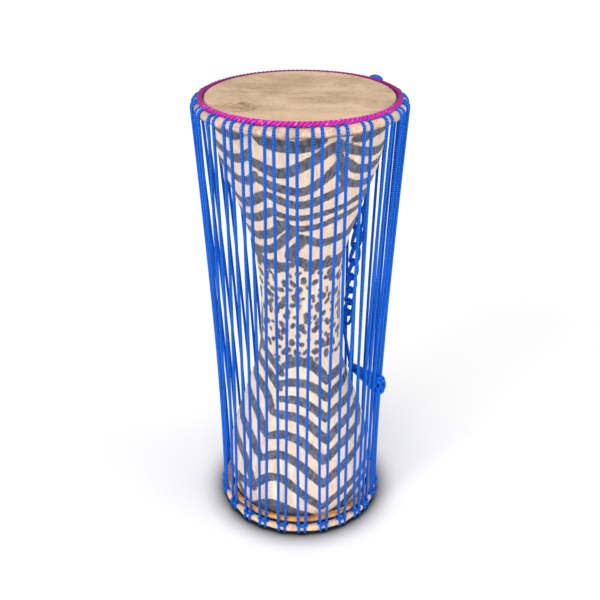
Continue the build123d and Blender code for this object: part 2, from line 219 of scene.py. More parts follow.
def frames_along(line, cyclic):
    """Two directions square to a line at each of its points, turning as little as they can."""
    ahead = np.roll(line, -1, axis=0) - np.roll(line, 1, axis=0)
    if not cyclic:
        ahead[0] = line[1] - line[0]
        ahead[-1] = line[-1] - line[-2]
    ahead /= np.linalg.norm(ahead, axis=1)[:, None]
    side = np.cross(ahead[0], (0, 0, 1) if abs(ahead[0][2]) < steep else (1, 0, 0))
    sides = []
    for direction in ahead:
        side = unit(side - direction * (side @ direction))
        sides.append(side)
    sides = np.array(sides)
    return sides, np.cross(ahead, sides)


def add_object(name, data):
    """An object in the scene."""
    piece = bpy.data.objects.new(name, data)
    bpy.context.scene.collection.objects.link(piece)
    return piece


def make_piece(name, points, faces, material, uvs=None):
    """A smooth mesh piece from points in millimetres."""
    mesh = bpy.data.meshes.new(name)
    mesh.from_pydata((np.asarray(points) * MM).tolist(), [], faces)
    mesh.polygons.foreach_set("use_smooth", [True] * len(mesh.polygons))
    if uvs is not None:
        layer = mesh.uv_layers.new(name="UVMap")
        flat = [value for face in uvs for corner_uv in face for value in corner_uv]
        layer.data.foreach_set("uv", flat)
    mesh.materials.append(material)
    return add_object(name, mesh)


def tubes(name, lines, radii, material, sides, cyclic=False):
    """Tubes along lines, each with one radius or one at every point."""
    points, faces, uvs = [], [], []
    turns = np.linspace(0, 2 * pi, sides, endpoint=False)
    for line, radius in zip(lines, radii):
        first = len(points)
        count = len(line)
        reach = np.broadcast_to(radius, count)
        across, up = frames_along(line, cyclic)
        lengthwise = travel_along(line) / (2 * pi * reach[0])
        for p, r, a, u in zip(line, reach, across, up):
            points.extend((p + r * (cos(t) * a + sin(t) * u)) for t in turns)
        for i in range(count if cyclic else count - 1):
            after = (i + 1) % count
            v0 = lengthwise[i]
            v1 = lengthwise[after] if after else lengthwise[i] + (lengthwise[1] - lengthwise[0])
            for j in range(sides):
                k = (j + 1) % sides
                faces.append([first + n * sides + m for n, m in ((i, j), (i, k), (after, k), (after, j))])
                u0, u1 = j / sides, (j + 1) / sides
                uvs.append([(u0, v0), (u1, v0), (u1, v1), (u0, v1)])
        if not cyclic:
            for start, flip in ((first, True), (first + (count - 1) * sides, False)):
                cap = list(range(start, start + sides))
                faces.append(cap[::-1] if flip else cap)
                uvs.append([(0, 0)] * sides)
    return make_piece(name, points, faces, material, uvs)


def points_of(piece):
    """A piece's points in millimetres."""
    return np.array([v.co for v in piece.data.vertices]) / MM


def keep(piece, name, values):
    """Keeps a value at each of a piece's points."""
    kept = piece.data.attributes.new(name, "FLOAT", "POINT")
    kept.data.foreach_set("value", values.astype(np.float32))


def keep_groove_shade(piece, height, low, high):
    """Keeps at each point how deep it lies between cords, for painted shade there: 1 at the low height, 0
    at the high one.
    """
    keep(piece, "groove_shade", np.clip((high - height) / (high - low), 0, 1))


def lathe(name, profile, turns, material):
    """A piece turned round the axis through (radius, height) pairs."""
    points = [spot(360 * i / turns, *pair) for i in range(turns) for pair in profile]
    faces = []
    rows = len(profile)
    for i in range(turns):
        after = (i + 1) % turns
        for j in range(rows - 1):
            faces.append([i * rows + j, after * rows + j, after * rows + j + 1, i * rows + j + 1])
    return make_piece(name, points, faces, material)


def view_ray(pixel):
    """The direction in which the photograph's camera sees a pixel."""
    tilt = radians(pitch_down)
    forward = np.array([0, cos(tilt), -sin(tilt)])
    upward = np.array([0, sin(tilt), cos(tilt)])
    right = (pixel[0] - photo_size / 2) / focal_pixels
    rise = (photo_size / 2 - pixel[1]) / focal_pixels
    return forward + np.array([right, 0, 0]) + upward * rise


def on_level(pixel, height):
    """The point of a level plane that the photograph shows at a pixel."""
    ray = view_ray(pixel)
    return eye + ray * (height - eye[2]) / ray[2]


# Materials


def srgb(red, green, blue):
    """A colour given as it looks on a screen, from 0 to 255, made linear."""
    channels = [c / 255 for c in (red, green, blue)]
    return [c / 12.92 if c <= 0.04045 else ((c + 0.055) / 1.055) ** 2.4 for c in channels] + [1.0]


white = (255, 255, 255)


class Nodes:
    """A tree of shader nodes under construction."""

    def __init__(self, tree):
        self.tree = tree

    def node(self, kind, inputs=(), output=0, **settings):
        """Adds a node, with links or values for its inputs, and gives one of its outputs."""
        node = self.tree.nodes.new(kind)
        for key, value in settings.items():
            setattr(node, key, value)
        for socket, value in dict(inputs).items():
            if isinstance(value, bpy.types.NodeSocket):
                self.tree.links.new(value, node.inputs[socket])
            else:
                node.inputs[socket].default_value = value
        return node.outputs[output]

    def place(self, stretch=(1, 1, 1)):
        """The object's own coordinates in metres, stretched."""
        coords = self.node("ShaderNodeTexCoord", output="Object")
        return self.node("ShaderNodeMapping", {"Vector": coords, "Scale": stretch})

    def noise(self, scale, detail=3.0, stretch=(1, 1, 1), roughness=0.5):
        """Noise from 0 to 1 in the object's coordinates."""
        inputs = {"Vector": self.place(stretch), "Scale": scale, "Detail": detail, "Roughness": roughness}
        return self.node("ShaderNodeTexNoise", inputs)

    def lengthwise(self, scale, detail, stretch):
        """Noise from 0 to 1 laid along a tube."""
        uv = self.node("ShaderNodeUVMap")
        stretched = self.node("ShaderNodeMapping", {"Vector": uv, "Scale": stretch})
        return self.node("ShaderNodeTexNoise", {"Vector": stretched, "Scale": scale, "Detail": detail})

    def kept(self, name):
        """The value that a piece keeps at its points."""
        return self.node("ShaderNodeAttribute", output="Fac", attribute_name=name)

    def calc(self, operation, first, second=0.0, third=0.0):
        """One step of arithmetic."""
        return self.node("ShaderNodeMath", {0: first, 1: second, 2: third}, operation=operation)

    def range(self, value, low, high, to_low=0.0, to_high=1.0):
        """A value mapped smoothly from one range to another."""
        inputs = {"Value": value, "From Min": low, "From Max": high, "To Min": to_low, "To Max": to_high}
        return self.node("ShaderNodeMapRange", inputs, interpolation_type="SMOOTHSTEP")

    def axis(self, vector, number):
        """One of a vector's three values."""
        return self.node("ShaderNodeSeparateXYZ", {0: vector}, output=number)

    def mix(self, share, first, second, **settings):
        """Two colours mixed, each a link or a colour as it looks on a screen."""
        first, second = (srgb(*c) if isinstance(c, tuple) else c for c in (first, second))
        inputs = {0: share, 6: first, 7: second}
        return self.node("ShaderNodeMix", inputs, output=2, data_type="RGBA", **settings)

    def darken(self, colour, value, low, high, shade):
        """A colour times a shade where a value is low, and as it is where the value is high."""
        shades = self.mix(self.range(value, low, high), shade, white)
        return self.mix(1.0, colour, shades, blend_type="MULTIPLY")

    def seen_ray(self):
        """1 on the rays that show the background: from the camera, off gloss and through glass."""
        seen = self.node("ShaderNodeLightPath", output="Is Camera Ray")
        for ray in ("Is Glossy Ray", "Is Transmission Ray"):
            seen = self.calc("MAXIMUM", seen, self.node("ShaderNodeLightPath", output=ray))
        return seen


class Look(Nodes):
    """A material under construction."""

    def __init__(self, name, **constants):
        self.material = bpy.data.materials.new(name)
        self.material.use_nodes = True
        super().__init__(self.material.node_tree)
        self.shader = self.tree.nodes["Principled BSDF"]
        for socket, value in constants.items():
            self.shader.inputs[socket.replace("_", " ").title().replace("Ior", "IOR")].default_value = value

    def colour(self, value):
        """Sets the surface's colour."""
        self.tree.links.new(value, self.shader.inputs["Base Color"])

    def bump(self, height, distance, strength):
        """A surface raised by a value, by a distance in millimetres."""
        inputs = {"Height": height, "Distance": distance * MM, "Strength": strength}
        normal = self.node("ShaderNodeBump", inputs)
        self.tree.links.new(normal, self.shader.inputs["Normal"])


# The cord's braid: yarns each way, their waves in a length like its girth, and their drift
braid_yarns, braid_lay, braid_drift = 3, 2.3, 7.0


def cord_look(name, shade, deep, mid, crown_highlight):
    """Braided cord: two sets of yarns that cross, with painted highlights on their crowns and painted shade
    where cords lie deep.
    """
    look = Look(name, roughness=0.5, specular_ior_level=0.12)
    uv = look.node("ShaderNodeUVMap")
    around = look.axis(uv, 0)
    along = look.axis(uv, 1)
    turn = look.calc("MULTIPLY", around, braid_yarns * 2 * pi)
    slack = look.calc("MULTIPLY", look.noise(90.0, 2.0), braid_drift)
    advance = look.calc("ADD", look.calc("MULTIPLY", along, braid_lay * 2 * pi), slack)
    right = look.calc("SINE", look.calc("ADD", turn, advance))
    left = look.calc("SINE", look.calc("SUBTRACT", turn, advance))
    crown = look.calc("MULTIPLY", right, left)
    raised = look.range(crown, -0.8, 0.9)
    drift = look.noise(28.0, 2.0)
    tone = look.mix(look.range(drift, 0.3, 0.7), deep, mid)
    # painted highlight: the yarns' crowns lighten towards crown_highlight
    tone = look.mix(look.calc("MULTIPLY", raised, 0.9), tone, crown_highlight)
    # painted shade: the cord's colour darkens towards the shade colour where it lies deep between cords
    groove_shade = look.kept("groove_shade")
    look.colour(look.mix(look.calc("MULTIPLY", groove_shade, 0.85), tone, shade))
    look.bump(raised, 0.5, 0.7)
    return look.material


def rope_look():
    """Magenta twisted rope, with fibres along each strand, painted glints, and painted shade towards the
    back and between its strands.
    """
    look = Look("rope_magenta", roughness=0.6, specular_ior_level=0.25)
    fibre = look.lengthwise(3.0, 3.0, (14.0, 1.2, 1.0))
    tone = look.mix(look.range(fibre, 0.3, 0.7), (176, 12, 140), (226, 44, 190))
    # painted highlights: pale pink glints scattered by noise
    tone = look.mix(look.range(look.noise(240.0), 0.5, 0.75), tone, (252, 124, 230))
    # painted shade: the rope darkens towards the back, away from the front light
    backward = look.axis(look.place(), 1)
    tone = look.mix(look.range(backward, -0.07, 0.0, 0.0, 0.9), tone, (136, 2, 98))
    # painted shade in the grooves between the rope's strands
    groove_shade = look.kept("groove_shade")
    look.colour(look.mix(groove_shade, tone, (92, 0, 76)))
    look.bump(fibre, 0.3, 0.5)
    return look.material


# The brown grime and painted shade under the rolls: its start over the middle of each, and the height in
# which it fades
upper_grime_shade, lower_grime_shade, grime_shade_fade = 1.6, -1.5, 4.0


def skin_look(name, pale, tan, brown, patches, grime_shade_top):
    """Rawhide: fibres, blotches, a dry surface, and grime with painted shade below a height."""
    look = Look(name, roughness=0.7, specular_ior_level=0.3)
    fibres = look.noise(160.0, 5.0, (1, 1, 1), 0.65)
    cloud = look.noise(14.0, 4.0)
    speck = look.noise(420.0, 2.0)
    tone = look.mix(look.range(fibres, 0.3, 0.7), tan, pale)
    tone = look.mix(look.range(cloud, *patches), tone, brown)
    # partly real grime, partly painted shade under the roll: browner below a height, ragged by noise
    height = look.axis(look.place(), 2)
    under = look.range(height, grime_shade_top * MM, (grime_shade_top - grime_shade_fade) * MM)
    smear = look.range(look.noise(75.0, 5.0, (1, 1, 1), 0.7), 0.36, 0.6, 0.2, 1.0)
    grime_and_shade = look.calc("MULTIPLY", under, smear)
    tone = look.mix(grime_and_shade, tone, (122, 84, 52))
    look.colour(look.darken(tone, speck, 0.35, 0.6, (226, 222, 216)))
    look.bump(look.calc("ADD", fibres, look.calc("MULTIPLY", speck, 0.5)), 0.35, 0.5)
    return look.material


# The upper membrane's stains: the middle in the photograph, how far it reaches and how dark it is
stains = [
    ((243, 106), 40.0, 0.4),
    ((239, 110), 12.0, 0.85),
    ((246, 109), 13.0, 0.95),
    ((243, 104), 9.0, 0.75),
    ((252, 108), 10.0, 0.75),
    ((256, 88), 11.0, 0.45),
    ((272, 92), 16.0, 0.35),
    ((278, 116), 12.0, 0.6),
    ((300, 117), 9.0, 0.35),
]
stain_core = 0.2  # share of a stain's reach where it is whole
membrane_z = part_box("top_skin")[1].z / MM


def membrane_look():
    """Scraped rawhide: streaks across, flecks, a stain on the left and a golden front edge."""
    look = Look("membrane_skin", roughness=0.7, specular_ior_level=0.3)
    broad = look.noise(42.0, 9.0, (0.5, 1, 1), 0.68)
    fibres = look.noise(240.0, 5.0, (0.3, 1, 1), 0.6)
    fleck = look.noise(420.0, 4.0, (0.8, 1, 1), 0.7)
    cloud = look.noise(20.0, 6.0, (0.7, 1, 1), 0.6)
    tone = look.mix(look.range(broad, 0.34, 0.66), (178, 149, 118), (212, 184, 154))
    tone = look.mix(look.range(cloud, 0.5, 0.68, 0.0, 0.6), tone, (174, 143, 111))
    tone = look.mix(look.range(fibres, 0.56, 0.72, 0.0, 0.25), tone, (160, 130, 100))
    tone = look.darken(tone, fleck, 0.36, 0.6, (238, 235, 230))
    coords = look.node("ShaderNodeTexCoord", output="Object")
    ragged = look.noise(260.0, 4.0, (0.7, 1, 1), 0.7)
    for pixel, reach, depth in stains:
        ends = {0: coords, 1: tuple(on_level(pixel, membrane_z) * MM)}
        away = look.node("ShaderNodeVectorMath", ends, output="Value", operation="DISTANCE")
        near = look.range(away, reach * MM, stain_core * reach * MM)
        stain = look.calc("MULTIPLY", near, look.range(ragged, 0.42, 0.56))
        tone = look.mix(look.calc("MULTIPLY", stain, depth), tone, (110, 75, 27))
    forward = look.axis(coords, 1)
    tone = look.mix(look.range(forward, -0.03, -0.075, 0.0, 0.55), tone, (224, 194, 160))
    edge = look.range(forward, -0.068, -0.088)
    edge = look.calc("MULTIPLY", edge, look.range(look.noise(60.0), 0.35, 0.65))
    look.colour(look.mix(look.calc("MULTIPLY", edge, 0.75), tone, (204, 156, 90)))
    look.bump(look.calc("ADD", broad, look.calc("MULTIPLY", fleck, 0.5)), 0.4, 0.5)
    return look.material


def cane_look(name, light, dark, node_colour, gloss):
    """Bent cane: grain along the ring, and darker bands."""
    look = Look(name, roughness=gloss, coat_weight=0.25, coat_roughness=0.25)
    grain = look.lengthwise(2.0, 4.0, (9.0, 0.35, 1.0))
    tone = look.mix(look.range(grain, 0.3, 0.7), dark, light)
    look.colour(look.mix(look.range(look.noise(45.0, 3.0), 0.58, 0.75), tone, node_colour))
    look.bump(grain, 0.25, 0.4)
    return look.material


def shell_look():
    """Pale carved wood with an upright grain and burnt stripes and spots."""
    look = Look("shell_wood", roughness=0.55, specular_ior_level=0.35)
    grain = look.noise(170.0, 4.0, (1, 1, 0.06), 0.6)
    fine = look.noise(700.0, 2.0, (1, 1, 0.1))
    cloud = look.noise(16.0, 2.0)
    wood = look.mix(look.range(grain, 0.3, 0.72), (248, 216, 180), (255, 240, 218))
    wood = look.mix(look.range(cloud, 0.45, 0.75), wood, (255, 224, 192))
    wood = look.darken(wood, fine, 0.3, 0.55, (244, 238, 230))
    burn = look.kept("burn")
    ragged = look.calc("ADD", burn, look.calc("MULTIPLY_ADD", look.noise(260.0, 3.0), 2.6, -1.3))
    mottle = look.noise(330.0, 3.0, (1, 1, 0.4))
    char = look.mix(look.range(mottle, 0.3, 0.7), (74, 73, 79), (126, 122, 127))
    scorch = look.mix(look.range(ragged, -1.6, 0.2, 0.0, 0.4), wood, (176, 140, 108))
    look.colour(look.mix(look.range(ragged, -0.45, 0.45), scorch, char))
    look.bump(look.calc("ADD", grain, look.calc("MULTIPLY", fine, 0.4)), 0.25, 0.4)
    return look.material


blue_cord = cord_look("lacing_blue", (0, 24, 96), (0, 32, 124), (0, 56, 182), (2, 132, 255))
magenta_rope = rope_look()
membrane_skin = membrane_look()
roll_tones = ((234, 204, 178), (206, 170, 142), (150, 112, 82))
hoop_tones = ((240, 210, 180), (218, 184, 150), (190, 150, 112))
roll_skin = skin_look("roll_skin", *roll_tones, (0.5, 0.82), upper_z + upper_grime_shade)
hoop_skin = skin_look("hoop_skin", *hoop_tones, (0.6, 0.9), lower_z + lower_grime_shade)
amber_cane = cane_look("amber_cane", (228, 164, 76), (178, 108, 34), (112, 64, 20), 0.35)
shell_wood = shell_look()

# The shell


def through(pairs, count):
    """A smooth line through (radius, height) pairs, as `count` of them."""
    knots = np.array(pairs)
    ends = np.vstack([2 * knots[0] - knots[1], knots, 2 * knots[-1] - knots[-2]])
    steps = np.linspace(0, len(knots) - 1, count)
    line = []
    for step in steps:
        i = min(int(step), len(knots) - 2)
        t = step - i
        a, b, c, d = ends[i : i + 4]
        square, cube = 2 * a - 5 * b + 4 * c - d, 3 * b - a - 3 * c + d
        line.append(0.5 * (2 * b + (c - a) * t + square * t**2 + cube * t**3))
    return np.array(line)


shell_pairs = shell_lower + [(r, shell_height - depth) for r, depth in shell_upper]
shell_line = through([(r, h + foot_z) for r, h in shell_pairs], shell_rows)


def shell_radius(height):
    """The shell's outer radius at heights."""
    return np.interp(height, shell_line[:, 1], shell_line[:, 0])


sight = (600, 1100, 2001)  # the nearest and farthest points tried on a line of sight, and their count


def on_shell(pixel):
    """The point of the shell's front that the photograph shows at a pixel."""
    reach = np.linspace(*sight)
    path = eye + reach[:, None] * view_ray(pixel)
    clear = np.hypot(path[:, 0], path[:, 1]) - shell_radius(path[:, 2])
    inside = np.nonzero(clear < 0)[0]
    return path[inside[0]] if len(inside) else path[np.argmin(clear)]


# Burnt stripes: a width in millimetres and the photograph's pixels along the middle
stripes = [
    # Waves at the middle of the upper half
    (10.0, [(257, 137), (266, 143), (288, 147.5), (300, 147.5), (312, 145), (323, 140)]),
    (8.0, [(251, 160), (266, 170), (280, 174), (288, 173), (312, 162), (336, 146), (340, 143)]),
    (6.8, [(252, 175), (266, 184), (288, 191), (300, 193), (312, 189), (335, 171), (338, 162)]),
    (6.8, [(266, 194), (280, 201), (294, 205.5), (308, 205), (324, 198), (344, 188)]),
    (4.4, [(268, 210), (280, 215), (294, 219), (312, 217), (328, 212), (344, 206), (356, 198)]),
    (4.8, [(276, 221), (288, 228), (304, 229), (320, 226), (336, 218), (360, 204)]),
    (7.0, [(301, 237), (312, 242), (324, 243), (338, 237), (352, 228)]),
    (8.0, [(288, 256), (300, 262), (312, 266), (328, 263), (340, 256), (348, 248)]),
    (7.0, [(288, 257), (295, 249), (302, 242), (306, 238)]),
    # Waves at its left
    (6.0, [(233, 136), (242, 134.5)]),
    (6.4, [(224, 150), (230, 156), (238, 159), (246, 156), (249, 152)]),
    (6.4, [(228, 168), (236, 177), (244, 181), (252, 180), (255, 174)]),
    (7.2, [(233, 189), (240, 199), (246, 203), (256, 200), (264, 194)]),
    (6.4, [(248, 216), (256, 218), (266, 214), (274, 210)]),
    (7.2, [(258, 235), (268, 235), (280, 229), (286, 223)]),
    (6.4, [(260, 249), (270, 250), (280, 244), (290, 234), (296, 231)]),
    (8.0, [(266, 262), (278, 266), (286, 268)]),
    # Waves at its right
    (5.0, [(354, 139), (364, 138)]),
    (6.4, [(340, 144), (350, 149), (360, 151), (370, 152), (379, 149)]),
    (6.4, [(346, 160), (352, 168), (362, 169), (372, 166), (378, 160)]),
    (5.4, [(340, 178), (348, 183), (358, 184), (368, 180), (374, 176)]),
    (5.0, [(338, 152), (342, 160), (344, 172), (343, 184)]),
    (4.4, [(352, 200), (360, 196), (368, 192)]),
    (5.4, [(348, 230), (354, 220), (360, 214)]),
    # Slants at the left of the lower half
    (6.4, [(263, 342), (270, 356), (278, 367), (282, 374)]),
    (7.0, [(260, 356), (268, 368), (276, 382), (280, 388)]),
    (8.0, [(255, 369), (262, 382), (269, 396), (272, 411)]),
    (8.4, [(249, 386), (256, 404), (262, 422), (266, 434)]),
    (8.8, [(241, 408), (248, 426), (254, 442), (260, 456)]),
    (8.8, [(236, 426), (243, 448), (249, 466), (253, 482)]),
    (8.8, [(230, 450), (236, 470), (242, 488), (247, 500)]),
    # Arches of the lower half, each with a sharp corner
    (7.4, [(284, 366), (296, 361), (308, 363), (318, 369), (327, 380), (327, 380), (336, 370), (343, 362)]),
    (6.4, [(282, 383), (292, 382), (304, 383), (316, 388), (327, 398), (327, 398), (338, 384), (346, 372)]),
    (6.4, [(281, 399), (292, 399), (304, 402), (316, 410), (326, 418), (326, 418), (340, 402), (352, 386)]),
    (6.8, [(272, 412), (284, 415), (296, 417), (308, 423), (327, 440), (327, 440), (340, 422), (355, 402)]),
    (6.8, [(267, 436), (280, 433), (292, 437), (304, 442), (324, 461), (324, 461), (340, 442), (358, 420)]),
    (6.8, [(261, 458), (274, 453), (286, 456), (300, 464), (323, 484), (323, 484), (340, 466), (360, 440)]),
    (6.8, [(253, 486), (264, 477), (276, 476), (288, 481), (322, 507), (322, 507), (340, 490), (366, 456)]),
    # Patches at the foot
    (11.0, [(254, 507), (264, 503), (274, 503), (284, 507), (294, 513), (310, 516)]),
    (11.0, [(257, 512), (270, 509), (284, 513), (299, 519)]),
    (11.0, [(330, 514), (342, 504), (351, 493), (359, 481)]),
    (10.0, [(338, 518), (350, 508), (360, 495)]),
]

stripe_bleed = 1.3  # of the burn past a stripe's drawn edge
stripe_tip, side_tip, tip_run = 0.6, 1.0, 4  # share of a stripe's width at its end, and how fast it grows
bead_step = 2.0  # between the beads that a stripe is reckoned from
side_angle = 38.0  # past which a stripe's end is carried round the side
side_rise = 5.0
burn_reach, burn_parts = 8.0, 400  # how far round a mark its depth is known, and the levels taken in turn

# Burnt spots: the band that they fill, how far apart they stand and how large they are
spot_band = (196.0, 304.0)
spot_pitch = 9.4
spot_radius = (2.2, 4.6)
spot_rounds = (-0.6, 0.1, 0.7)  # where the rounds of a spot lie along it
spot_seed = 11
spot_room = 1.05  # of the pitch, for each spot of a row
spot_stray, spot_sway = 0.3, 0.34  # shares of the spacing by which a spot strays along its row and up
round_shift, round_size = (0.4, 1.3), (0.5, 0.95)  # ranges of a round's shift and radius in its spot


def to_wall(point):
    """(degrees from the front, height) of a point on the shell."""
    return degrees(atan2(point[0], -point[1])), point[2]


def round_the_sides(walls, widths):
    """Arches that carry the stripes from the front's right end round to the back's left."""
    right = [(line[-1], w) for line, w in zip(walls, widths) if line[-1][0] > side_angle]
    left = [(line[0], w) for line, w in zip(walls, widths) if line[0][0] < -side_angle]
    pairs = [(end, min(left, key=lambda start: abs(start[0][1] - end[0][1]))) for end in right]
    pairs += [(min(right, key=lambda end: abs(end[0][1] - start[0][1])), start) for start in left]
    arches = []
    for (end, end_width), (start, start_width) in pairs:
        far = start + np.array([180.0, 0, 0])
        crown = (end + far) / 2 + np.array([0, side_rise, 0])
        arches.append((np.array([end, crown, far]), (end_width + start_width) / 2))
    return arches


def stripe_beads():
    """Points along the stripes' middles with half their widths, at the front and at the back."""
    beads = []
    widths = [width for width, _ in stripes]
    walls = [np.array([(*to_wall(on_shell(pixel)), 0) for pixel in pixels]) for _, pixels in stripes]
    marks = [(line, width, stripe_tip) for line, width in zip(walls, widths)]
    marks += [(line, width, side_tip) for line, width in round_the_sides(walls, widths)]
    for wall, width, tip in marks:
        line = resample(smooth_line(wall) if len(wall) > 2 else wall, bead_step)
        count = len(line)
        for i, (angle, height, _) in enumerate(line):
            end = min(i, count - 1 - i) / max(1, count)
            half = stripe_bleed + width / 2 * min(1, tip + tip_run * end)
            for turn in (0, 180):
                beads.append((*spot(angle + turn, float(shell_radius(height)), height), half))
    return beads


def spot_beads():
    """Leopard spots, each of two or three rounds that run together."""
    rng = random.Random(spot_seed)
    beads = []
    low, high = spot_band
    rows = round((high - low) / spot_pitch)
    for row in range(rows + 1):
        height = low + (high - low) * row / rows
        radius = float(shell_radius(height))
        across = round(2 * pi * radius / (spot_pitch * spot_room))
        for i in range(across):
            angle = 360 * (i + 0.5 * (row % 2) + rng.uniform(-spot_stray, spot_stray)) / across
            level = height + rng.uniform(-spot_sway, spot_sway) * spot_pitch
            lean = rng.uniform(0, pi)
            size = rng.uniform(*spot_radius)
            for step in spot_rounds:
                shift = step * size * rng.uniform(*round_shift)
                along = shift * cos(lean)
                part = size * rng.uniform(*round_size)
                beads.append((*spot(angle, radius, level + shift * sin(lean), along), part))
    return beads


def burn_depth(points):
    """How far inside a burnt mark each point lies, in millimetres, negative outside."""
    beads = np.array(stripe_beads() + spot_beads())
    beads = beads[np.argsort(beads[:, 2])]
    depth = np.full(len(points), -burn_reach)
    order = np.argsort(points[:, 2])
    for rows in np.array_split(order, burn_parts):
        low, high = points[rows, 2].min() - burn_reach, points[rows, 2].max() + burn_reach
        near = beads[np.searchsorted(beads[:, 2], low) : np.searchsorted(beads[:, 2], high)]
        if len(near):
            gaps = np.linalg.norm(points[rows, None, :] - near[None, :, :3], axis=2)
            depth[rows] = np.maximum(depth[rows], (near[:, 3] - gaps).max(axis=1))
    return depth


def build_shell():
    """The turned shell, with its burnt marks kept as a value at each point."""
    rim = [(shell_line[-1, 0] - rim_width, shell_line[-1, 1])]
    foot = [(shell_line[0, 0] - rim_width, shell_line[0, 1])]
    profile = foot + [tuple(p) for p in shell_line] + rim
    piece = lathe("shell_body", profile, shell_turns, shell_wood)
    keep(piece, "burn", burn_depth(points_of(piece)))
    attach(piece, "drum")
    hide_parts("shell")


# Skins, hoops, rope and cane


def circle(radius, height, count):
    """Points round a ring."""
    return np.array([spot(360 * i / count, radius, height) for i in range(count)])


skin_turns, skin_bend = 160, 1.6
skin_middle = 0.001  # radius of the pinhole in the middle of a turned skin
head_rings, base_ring = (0.35, 0.7), 0.6  # shares of a skin's radius where its flat is parted
bend_turns = (75, 50, 25, 0)  # degrees of the points round the upper skin's edge
base_rim, base_lift = 3, 0.8  # how far in the lower skin starts to turn up, and its first rise


def skin_size(node):
    """(radius, top, foot) of a CAD skin, in millimetres."""
    low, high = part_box(node)
    return high.x / MM / facet_growth, high.z / MM, low.z / MM


def build_membranes():
    """The two heads, with their edges turned over the shell's rims."""
    edge, top, foot = skin_size("top_skin")
    arc = [radians(a) for a in bend_turns]
    inner = edge - skin_bend
    profile = [(skin_middle, top)] + [(edge * share, top) for share in head_rings] + [(inner, top)]
    profile += [(inner + skin_bend * cos(a), top - skin_bend + skin_bend * sin(a)) for a in arc]
    profile += [(edge, foot)]
    head = lathe("top_membrane", profile, skin_turns, membrane_skin)
    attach(head, "drum")
    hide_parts("top_skin")
    edge, top, foot = skin_size("bottom_skin")
    profile = [(skin_middle, foot), (edge * base_ring, foot), (edge - base_rim, foot)]
    profile += [(edge - skin_bend, foot + base_lift), (edge, top)]
    base = lathe("bottom_membrane", profile[::-1], skin_turns, membrane_skin)
    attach(base, "drum")
    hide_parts("bottom_skin")


roll_seed, roll_waves, roll_unevenness = 5, 10, 0.35
roll_points, roll_sides = 240, 20
wave_counts, wave_phases, wave_sizes = (3, 40), (0, 6.28), (0.04, 0.12)  # ranges of the roll's waves


def build_rolls():
    """The skins' edges lapped round their hoops, a little uneven from hand sewing."""
    rng = random.Random(roll_seed)
    waves = []
    for _ in range(roll_waves):
        waves.append((rng.randint(*wave_counts), rng.uniform(*wave_phases), rng.uniform(*wave_sizes)))

    def uneven(radius):
        turns = [2 * pi * i / roll_points for i in range(roll_points)]
        swells = [sum(s * sin(n * t + p) for n, p, s in waves) for t in turns]
        return np.array([radius * (1 + roll_unevenness * swell) for swell in swells])

    level = circle(upper_radius, upper_z + upper_look_rise, roll_points)
    upper = tubes("top_roll", [level], [uneven(upper_look_radius)], roll_skin, roll_sides, True)
    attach(upper, "top_hoop")
    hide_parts("top_skin_lap", "top_flesh_hoop")
    level = circle(lower_radius, lower_z - lower_look_drop, roll_points)
    lower = tubes("bottom_roll", [level], [uneven(lower_look_radius)], hoop_skin, roll_sides, True)
    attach(lower, "drum")
    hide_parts("bottom_skin_lap", "bottom_flesh_hoop")


rope_strands, rope_turns, rope_points = 3, 44, 1056
strand_share = 0.52  # of the rope's radius, in one of its strands
rope_shade_depths = (0.62, 0.94)  # shares of the rope's radius between which painted shade darkens it
rope_back_drop = 2.2  # of the rope at the back, where it lies deeper behind the membrane


def build_rope():
    """Three strands twisted into the ring on the roll."""
    strand = rope_radius * strand_share
    reach = rope_radius - strand
    lines = []
    for k in range(rope_strands):
        line = []
        for i in range(rope_points):
            turn = 2 * pi * (rope_turns * i / rope_points + k / rope_strands)
            angle = 360 * i / rope_points
            level = rope_z - rope_back_drop * (1 - cos(radians(angle))) / 2
            radius = rope_ring_radius + reach * cos(turn)
            line.append(spot(angle, radius, level + reach * sin(turn)))
        lines.append(np.array(line))
    rope = tubes("rope", lines, [strand] * rope_strands, magenta_rope, cord_sides, True)
    # how deep each point lies between the strands, kept for painted shade there
    points = points_of(rope)
    drop = rope_back_drop * (1 + points[:, 1] / rope_ring_radius) / 2
    outward = np.hypot(points[:, 0], points[:, 1]) - rope_ring_radius
    away = np.hypot(outward, points[:, 2] - rope_z + drop)
    keep_groove_shade(rope, away, *(share * rope_radius for share in rope_shade_depths))
    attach(rope, "top_hoop")
    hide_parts("rope_ring")


cane_points, cane_sides, cane_joints = 300, 18, 7
joint_swell, joint_spread, cane_trim = 0.35, 0.0008, 0.25


def build_cane():
    """The polished cane ring, a little thicker at its joints."""
    places = [(cane_joints * i / cane_points) % 1 for i in range(cane_points)]
    swell = [joint_swell * exp(-((place - 0.5) ** 2) / joint_spread) for place in places]
    radii = np.array([cane_radius - cane_trim + s for s in swell])
    level = circle(cane_ring_radius, cane_z, cane_points)
    cane = tubes("cane", [level], [radii], amber_cane, cane_sides, True)
    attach(cane, "drum")
    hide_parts("cane_ring")


# Lacing


def all_round(shown):
    """The angles of a ring's turns: those that show at the front, then the rest evenly."""
    rest = bight_count - len(shown)
    step = (360 + shown[0] - shown[-1]) / (rest + 1)
    return shown + [shown[-1] + step * (i + 1) for i in range(rest)]


hitch_angles = all_round(shown_hitches)
bight_angles = all_round(shown_bights)
bottom_angle = degrees(hitch_strand / leg_radius)
top_angle = degrees(bight_strand / strand_top_radius)
squeeze_middle = (squeeze_low + squeeze_high) / 2
mirror_x = np.array([-1, 1, 1])


def lacing_radius(height):
    """The lacing's radius between its knee and the middle of the squeezed stretch."""
    knee = leg_radius - knee_inset
    share = (height - knee_height) / (strand_top_z - knee_height)
    bow = strand_bow * (height - knee_height) / (squeeze_middle - knee_height)
    return knee + share * (strand_top_radius - knee) - bow


